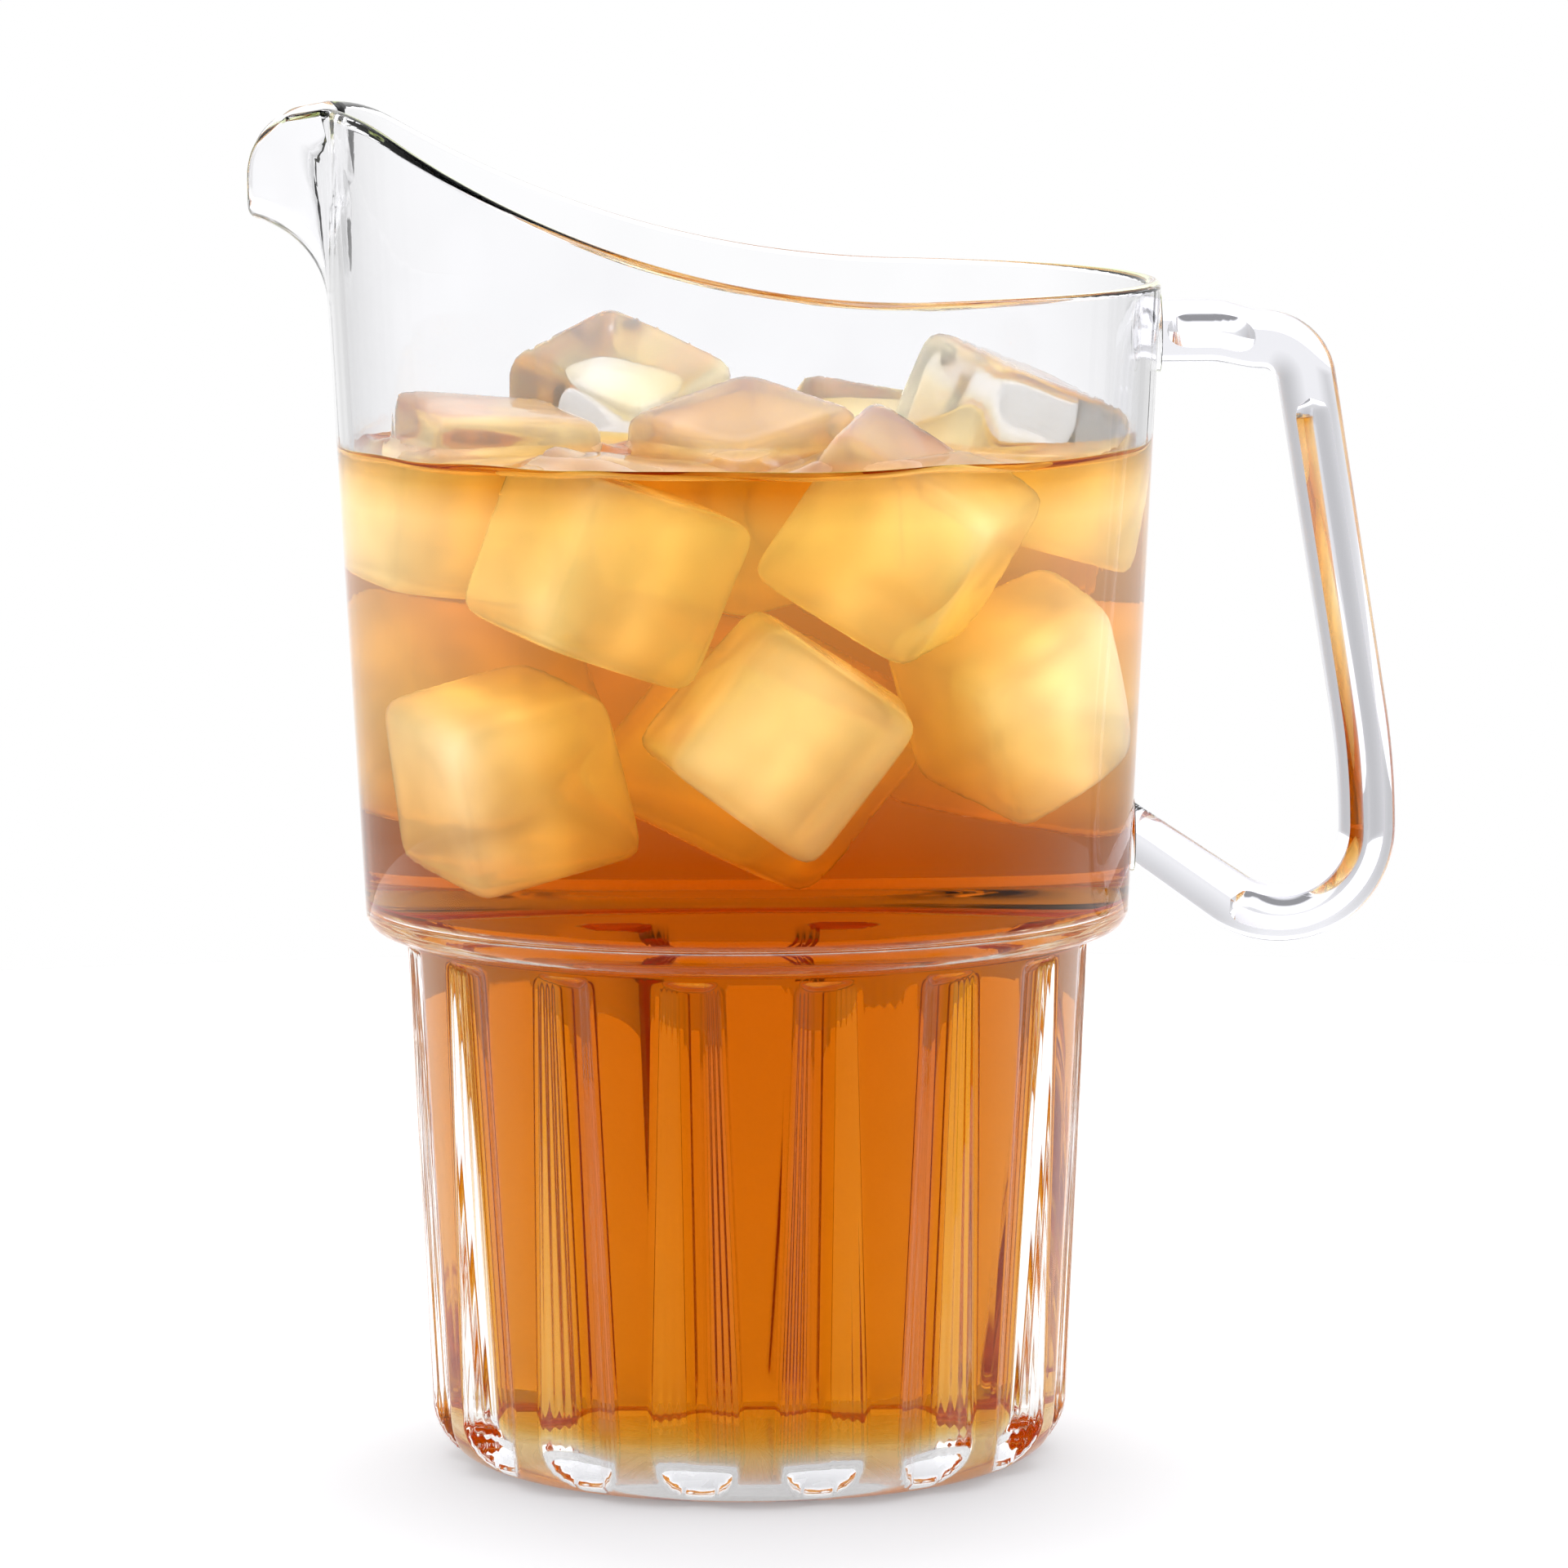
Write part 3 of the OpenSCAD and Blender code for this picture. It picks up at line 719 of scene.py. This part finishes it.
def fix(node, values):
    """Sets inputs of a node that have nothing linked to them."""
    for socket, value in values.items():
        node.inputs[socket].default_value = value


def between(tree, source, low, high, least=0, most=1):
    """A node for a value that goes evenly from least to most as its source goes from low to high."""
    (ramp,) = add(tree, "MapRange")
    fix(ramp, {"From Min": low, "From Max": high, "To Min": least, "To Max": most})
    tree.links.new(source, ramp.inputs["Value"])
    return ramp.outputs["Result"]


def join(tree, operation, first, second=None):
    """A node for a calculation with one value or two."""
    (node,) = add(tree, "Math")
    node.operation = operation
    for socket, source in zip(node.inputs, (first, second)):
        if source:
            tree.links.new(source, socket)
    return node.outputs[0]


def shade(tree, first, second, factor):
    """A node for a mix of two colours or sources of colour."""
    (mix,) = add(tree, "Mix")
    mix.data_type = "RGBA"
    for socket, source in zip(("A", "B"), (first, second)):
        if isinstance(source, bpy.types.NodeSocket):
            tree.links.new(source, mix.inputs[socket])
        else:
            mix.inputs[socket].default_value = (*source, 1)
    tree.links.new(factor, mix.inputs["Factor"])
    return mix.outputs["Result"]


def own_place(tree):
    """Nodes for a point's Object coordinates, whole and as X, Y and Z."""
    where, split = add(tree, "TexCoord", "SeparateXYZ")
    tree.links.new(where.outputs["Object"], split.inputs["Vector"])
    return where.outputs["Object"], split.outputs


def uneven_finish():
    """The shared node group for moulded and wet surfaces.

    A fine noise gives a mask of smudges and a roughness between two values, and a slow noise gives a height for
    waviness. Both are read from Object coordinates.
    """
    name = "Uneven Finish"
    if name in bpy.data.node_groups:
        return bpy.data.node_groups[name]
    group = bpy.data.node_groups.new(name, "ShaderNodeTree")
    face = group.interface
    for socket, value in (("Smudge Scale", 60.0), ("Wave Scale", 20.0), ("Smooth", 0.0), ("Dull", 0.1)):
        face.new_socket(socket, in_out="INPUT", socket_type="NodeSocketFloat").default_value = value
    for socket in ("Mask", "Roughness", "Height"):
        face.new_socket(socket, in_out="OUTPUT", socket_type="NodeSocketFloat")
    nodes, links = group.nodes, group.links
    inside, outside = nodes.new("NodeGroupInput"), nodes.new("NodeGroupOutput")
    where, smudge, wave, rough = add(group, "TexCoord", "TexNoise", "TexNoise", "MapRange")
    fix(smudge, {"Detail": 5})
    fix(wave, {"Detail": 1})
    spread = between(group, smudge.outputs["Fac"], 0.4, 0.75)
    links.new(where.outputs["Object"], smudge.inputs["Vector"])
    links.new(where.outputs["Object"], wave.inputs["Vector"])
    links.new(inside.outputs["Smudge Scale"], smudge.inputs["Scale"])
    links.new(inside.outputs["Wave Scale"], wave.inputs["Scale"])
    links.new(spread, rough.inputs["Value"])
    links.new(inside.outputs["Smooth"], rough.inputs["To Min"])
    links.new(inside.outputs["Dull"], rough.inputs["To Max"])
    links.new(spread, outside.inputs["Mask"])
    links.new(rough.outputs["Result"], outside.inputs["Roughness"])
    links.new(wave.outputs["Fac"], outside.inputs["Height"])
    return group


def clear_material(name, tint, dim, ior, clearness, shine, smudge, wave, rough, wave_height):
    """A clear material with smudges and slow waviness from the shared finish.

    The colour runs from the tint to a slightly dimmer one in the smudges, roughness runs between two values, and
    the waviness bends the surface by a bump of the given height.
    """
    material, output = new_material(name)
    tree, links = material.node_tree, material.node_tree.links
    shader, finish, bump = add(tree, "BsdfPrincipled", "Group", "Bump")
    finish.node_tree = uneven_finish()
    fix(shader, {"IOR": ior, "Transmission Weight": clearness, "Specular Tint": (shine, shine, shine, 1)})
    fix(finish, {"Smudge Scale": smudge, "Wave Scale": wave, "Smooth": rough[0], "Dull": rough[1]})
    fix(bump, {"Distance": wave_height, "Strength": 1})
    smudged = shade(tree, tint, [c * dim for c in tint], finish.outputs["Mask"])
    links.new(smudged, shader.inputs["Base Color"])
    links.new(finish.outputs["Roughness"], shader.inputs["Roughness"])
    links.new(finish.outputs["Height"], bump.inputs["Height"])
    links.new(bump.outputs["Normal"], shader.inputs["Normal"])
    links.new(shader.outputs["BSDF"], output.inputs["Surface"])
    return material


def plastic_material(name, tint, look, smudge, wave, dull):
    """Clear moulded plastic."""
    return clear_material(
        name, tint, dim=0.97, ior=look.plastic_ior, clearness=1, shine=look.plastic_shine,
        smudge=smudge, wave=wave, rough=(0, dull), wave_height=0.00004,
    )


def drink_material(look, level):
    """The drink: a clear surface over a body that absorbs blue and green, so that it deepens with thickness.

    A pale painted glow, an emission at the wall of the drum that fades downwards and at the level and is paler at
    the sides, stands in for the light that cloudy melt water spreads.
    """
    material = clear_material(
        "amber_drink", look.drink_tint, dim=0.98, ior=look.drink_ior, clearness=1, shine=look.wet_shine,
        smudge=90, wave=30, rough=(0, 0.02), wave_height=0.00005,
    )
    tree = material.node_tree
    nodes, links = tree.nodes, tree.links
    shader = nodes["Principled BSDF"]
    fix(shader, {"Emission Strength": 1})
    place, axis = own_place(tree)
    flat, radius, absorb = add(tree, "VectorMath", "VectorMath", "VolumeAbsorption")
    flat.operation, radius.operation = "MULTIPLY", "LENGTH"
    fix(flat, {1: (1, 1, 0)})
    links.new(place, flat.inputs[0])
    links.new(flat.outputs["Vector"], radius.inputs[0])
    # Painted glow: an emission at the drum's wall, fading downwards and at the level and paler at the sides
    rise = between(tree, axis["Z"], *DRINK_GLOW_RISE)
    fade = between(tree, axis["Z"], *(level - depth for depth in DRINK_GLOW_END))
    at_wall = between(tree, radius.outputs["Value"], *DRINK_GLOW_WALL)
    strength = join(tree, "MULTIPLY", at_wall, join(tree, "MULTIPLY", rise, fade))
    aside = between(tree, join(tree, "ABSOLUTE", axis["X"]), *DRINK_GLOW_SIDE)
    veil = shade(tree, look.painted_melt_glow, look.painted_side_glow, aside)
    links.new(shade(tree, (0, 0, 0), veil, strength), shader.inputs["Emission Color"])
    fix(absorb, {"Color": (*look.drink_clear, 1), "Density": look.drink_density})
    links.new(absorb.outputs["Volume"], nodes["Material Output"].inputs["Volume"])
    return material


def ice_material(look, level):
    """Cloudy ice: light spreads inside it, and below the drink's level it has a painted amber glow, an emission
    that stands in for the light it gathers from the drink.

    The painted glow follows the block's stored cloud and painted light and a slow noise, is creamy in the band, is
    painted paler towards the sides of the drum, and fades out at the drink's level.
    """
    material = clear_material(
        "cloudy_ice", look.ice_tint, dim=0.98, ior=look.ice_ior, clearness=look.ice_clear, shine=look.ice_shine,
        smudge=120, wave=90, rough=(0.01, 0.2), wave_height=0.0003,
    )
    tree = material.node_tree
    shader, finish = tree.nodes["Principled BSDF"], tree.nodes["Group"]
    fix(shader, {"Subsurface Weight": 1, "Subsurface Radius": (1, 0.97, 0.92)})
    fix(shader, {"Subsurface Scale": look.ice_cloud, "Emission Strength": look.painted_glow_strength})
    _, axis = own_place(tree)
    # Painted glow: the ice's emission follows the stored cloud and painted light, a slow noise, the level and the
    # drum's sides
    (stored,) = add(tree, "Attribute")
    stored.attribute_name = "cloud"
    cloud = stored.outputs["Fac"]
    under = between(tree, axis["Z"], *(level - depth for depth in GLOW_END))
    patches = join(tree, "MULTIPLY", cloud, between(tree, finish.outputs["Height"], *GLOW_WAVE, least=0.65))
    painted_glow_tone = shade(tree, look.painted_glow_amber, look.painted_glow_cream, cloud)
    aside = between(tree, join(tree, "ABSOLUTE", axis["X"]), *GLOW_SIDE)
    sided = shade(tree, painted_glow_tone, look.painted_glow_pale, aside)
    glow = shade(tree, (0, 0, 0), sided, join(tree, "MULTIPLY", under, patches))
    tree.links.new(glow, shader.inputs["Emission Color"])
    return material


class PITCHER_OT_body(bpy.types.Operator):
    """Builds the clear body: drum, fluted foot, rim, lip and the two pads that carry the handle"""

    bl_idname = "pitcher.body"
    bl_label = "Clear Body"

    def execute(self, context):
        scene = context.scene
        vessel, look = Vessel(scene), scene.pitcher_finish
        bar, sizes = Bar(scene, vessel), scene.pitcher_handle
        piece = show(skin("clear_body", body_rings(vessel)))
        wall = scene.pitcher_body.wall
        for face, z, diameter in (
            (bar.thumb_face, bar.thumb_z, sizes.thumb_pad_d),
            (bar.strut_face, bar.strut_z, sizes.strut_pad_d),
        ):
            combine(piece, skin("pad", bar.pad_rings(face, z, diameter, wall)), "UNION")
        material = plastic_material("clear_body", look.plastic_tint, look, smudge=45, wave=25, dull=0.03)
        finish_piece(piece, material, "pitcher", "clear_body", "body")
        return {"FINISHED"}


class PITCHER_OT_handle(bpy.types.Operator):
    """Builds the clear bar handle"""

    bl_idname = "pitcher.handle"
    bl_label = "Bar Handle"

    def execute(self, context):
        scene = context.scene
        look = scene.pitcher_finish
        bar = Bar(scene, Vessel(scene))
        piece = show(skin("clear_handle", bar_rings(*bar.stations())))
        for rings in bar.hollow_rings():
            combine(piece, skin("hollow", rings), "DIFFERENCE")
        # The handle's tint is dimmer than the body's, which paints a grey shade on the handle
        material = plastic_material("clear_handle", look.shaded_handle_tint, look, smudge=70, wave=40, dull=0.04)
        finish_piece(piece, material, "pitcher", "clear_handle", "handle")
        return {"FINISHED"}


class PITCHER_OT_drink(bpy.types.Operator):
    """Builds the drink, with a pocket round each ice block"""

    bl_idname = "pitcher.drink"
    bl_label = "Iced Drink"

    def execute(self, context):
        scene = context.scene
        vessel, places = Vessel(scene), ice_places()
        piece = show(skin("iced_drink", drink_rings(vessel, scene, places)))
        for seed, (place, turn) in enumerate(places):
            rings = ice_rings(scene.pitcher_ice, place, turn, seed, scene.pitcher_drink.overlap)
            combine(piece, skin("pocket", rings), "DIFFERENCE")
        material = drink_material(scene.pitcher_finish, vessel.level)
        finish_piece(piece, material, "contents", "drink", "drink")
        return {"FINISHED"}


class PITCHER_OT_ice(bpy.types.Operator):
    """Builds the ice blocks"""

    bl_idname = "pitcher.ice"
    bl_label = "Ice Blocks"

    def execute(self, context):
        scene = context.scene
        material = ice_material(scene.pitcher_finish, Vessel(scene).level)
        for seed, (place, turn) in enumerate(ice_places()):
            rings = ice_rings(scene.pitcher_ice, place, turn, seed)
            piece = show(skin(f"ice_block_{seed + 1}", rings))
            store_cloud_and_painted_light(piece.data, scene.pitcher_ice, place, turn)
            finish_piece(piece, material, "contents", "ice", f"ice_cube_{seed + 1}")
        return {"FINISHED"}


class PITCHER_OT_stage(bpy.types.Operator):
    """Sets the white floor, the studio light and the camera"""

    bl_idname = "pitcher.stage"
    bl_label = "White Studio"

    def execute(self, context):
        scene = context.scene
        stage = scene.pitcher_stage
        self.floor(stage)
        self.light(scene)
        self.camera(scene, stage)
        scene.view_settings.view_transform = "Standard"
        scene.cycles.max_bounces = 96
        scene.cycles.transmission_bounces = 96
        scene.cycles.glossy_bounces = 16
        scene.cycles.diffuse_bounces = 8
        return {"FINISHED"}

    def seen(self, tree):
        """1 for rays from the camera and for those that glass and gloss send on, 0 for diffuse light."""
        (path,) = add(tree, "LightPath")
        either = join(tree, "MAXIMUM", path.outputs["Is Camera Ray"], path.outputs["Is Glossy Ray"])
        return join(tree, "MAXIMUM", either, path.outputs["Is Transmission Ray"])

    def floor(self, stage):
        """A round white floor: rings of a disc, in a matt white that keeps the shadow.

        It glows a little for rays that show it, more with the distance from a point before the pitcher, so the
        weaker glow round that point paints a shadow in front of the pitcher.
        """
        turn = np.linspace(0, 2 * math.pi, 96, endpoint=False)
        radius = stage.floor_r * np.array([1, 0.6, 0.3, 0.1])[:, None]
        rings = circles(radius, turn, 0)
        mesh = skin("studio_floor", np.concatenate([rings[:1] - (0, 0, 0.01), rings]))
        material, output = new_material("white_floor")
        tree, links = material.node_tree, material.node_tree.links
        matt, glow, both, far = add(tree, "BsdfDiffuse", "Emission", "AddShader", "VectorMath")
        fix(matt, {"Color": (*stage.floor_tint, 1)})
        # Painted shadow: the floor's glow is weakest round this point before the pitcher
        painted_shadow_middle, near, away = (0, -0.06, 0), 0.03, 0.12
        far.operation = "DISTANCE"
        fix(far, {1: painted_shadow_middle})
        links.new(own_place(tree)[0], far.inputs[0])
        rise = between(tree, far.outputs["Value"], near, away, stage.painted_shadow_glow, stage.far_glow)
        links.new(join(tree, "MULTIPLY", self.seen(tree), rise), glow.inputs["Strength"])
        links.new(matt.outputs["BSDF"], both.inputs[0])
        links.new(glow.outputs["Emission"], both.inputs[1])
        links.new(both.outputs["Shader"], output.inputs["Surface"])
        mesh.materials.append(material)
        show(mesh)

    def light(self, scene):
        """A soft white room: white for the camera, and for other rays white walls, two bright rings and a dark one.

        The room's four corners are darker, except low down. The rings lean to the back, so that the shadow falls
        towards the camera.
        """
        world = bpy.data.worlds.new("white_room")
        scene.world = world
        world.use_nodes = True
        tree, links = world.node_tree, world.node_tree.links
        tree.nodes.clear()
        output, sky, ramp, path = add(tree, "OutputWorld", "Background", "ValToRGB", "LightPath")
        way, split, lean, walls = add(tree, "TexCoord", "SeparateXYZ", "VectorMath", "VectorMath")
        stops = ramp.color_ramp.elements
        stops[0].position, stops[0].color = 0.0, (1, 1, 1, 1)
        stops[1].position, stops[1].color = 0.35, (1, 1, 1, 1)
        for position, grey in ROOM_RINGS:
            stop = stops.new(position)
            stop.color = (grey, grey, grey * 1.02, 1)
        lean.operation, walls.operation = "DOT_PRODUCT", "SCALE"
        fix(lean, {1: (0, -0.3, 0.95)})
        links.new(way.outputs["Generated"], split.inputs["Vector"])
        links.new(way.outputs["Generated"], lean.inputs[0])
        links.new(lean.outputs["Value"], ramp.inputs["Fac"])
        links.new(ramp.outputs["Color"], walls.inputs[0])
        corner = join(tree, "ABSOLUTE", join(tree, "MULTIPLY", split.outputs["X"], split.outputs["Y"]))
        low_end, high_end, darkest = -0.24, -0.16, 0.62
        raised = join(tree, "MULTIPLY", corner, between(tree, split.outputs["Z"], low_end, high_end))
        links.new(between(tree, raised, 0.5, 0.15, darkest), walls.inputs["Scale"])
        shown = shade(tree, walls.outputs["Vector"], (1, 1, 1), path.outputs["Is Camera Ray"])
        links.new(shown, sky.inputs["Color"])
        links.new(sky.outputs["Background"], output.inputs["Surface"])

    def camera(self, scene, stage):
        """The camera at the photograph's viewing angle."""
        side = Vector((math.cos(stage.yaw), math.sin(stage.yaw), 0))
        back = Vector((math.sin(stage.yaw), -math.cos(stage.yaw), 0))
        eye = side * stage.aim_x + back * stage.distance + Vector((0, 0, stage.eye_z))
        aim = side * stage.aim_x + Vector((0, 0, stage.aim_z))
        data = bpy.data.cameras.new("studio_camera")
        data.lens, data.sensor_width, data.sensor_fit = stage.lens, 36, "HORIZONTAL"
        data.clip_end = 20
        turn = (aim - eye).to_track_quat("-Z", "Y").to_matrix() @ Matrix.Rotation(stage.roll, 3, "Z")
        camera = bpy.data.objects.new("studio_camera", data)
        camera.matrix_world = Matrix.Translation(eye) @ turn.to_4x4()
        scene.collection.objects.link(camera)
        scene.camera = camera


OPERATORS = (PITCHER_OT_stage, PITCHER_OT_body, PITCHER_OT_handle, PITCHER_OT_drink, PITCHER_OT_ice)


class PITCHER_PT_build(bpy.types.Panel):
    """Lists the pieces in the order in which they are built"""

    bl_idname = "PITCHER_PT_build"
    bl_label = "Pitcher"
    bl_space_type = "VIEW_3D"
    bl_region_type = "UI"
    bl_category = "Pitcher"

    def draw(self, context):
        for operator in OPERATORS:
            self.layout.operator(operator.bl_idname)


def register():
    for name, group in SETTINGS.items():
        bpy.utils.register_class(group)
        setattr(bpy.types.Scene, name, bpy.props.PointerProperty(type=group))
    for item in (*OPERATORS, PITCHER_PT_build):
        bpy.utils.register_class(item)


def unregister():
    for item in (PITCHER_PT_build, *reversed(OPERATORS)):
        bpy.utils.unregister_class(item)
    for name, group in reversed(SETTINGS.items()):
        delattr(bpy.types.Scene, name)
        bpy.utils.unregister_class(group)


def main():
    register()
    bpy.ops.pitcher.stage()
    bpy.ops.pitcher.body()
    bpy.ops.pitcher.handle()
    bpy.ops.pitcher.drink()
    bpy.ops.pitcher.ice()


if __name__ == "__main__":
    main()
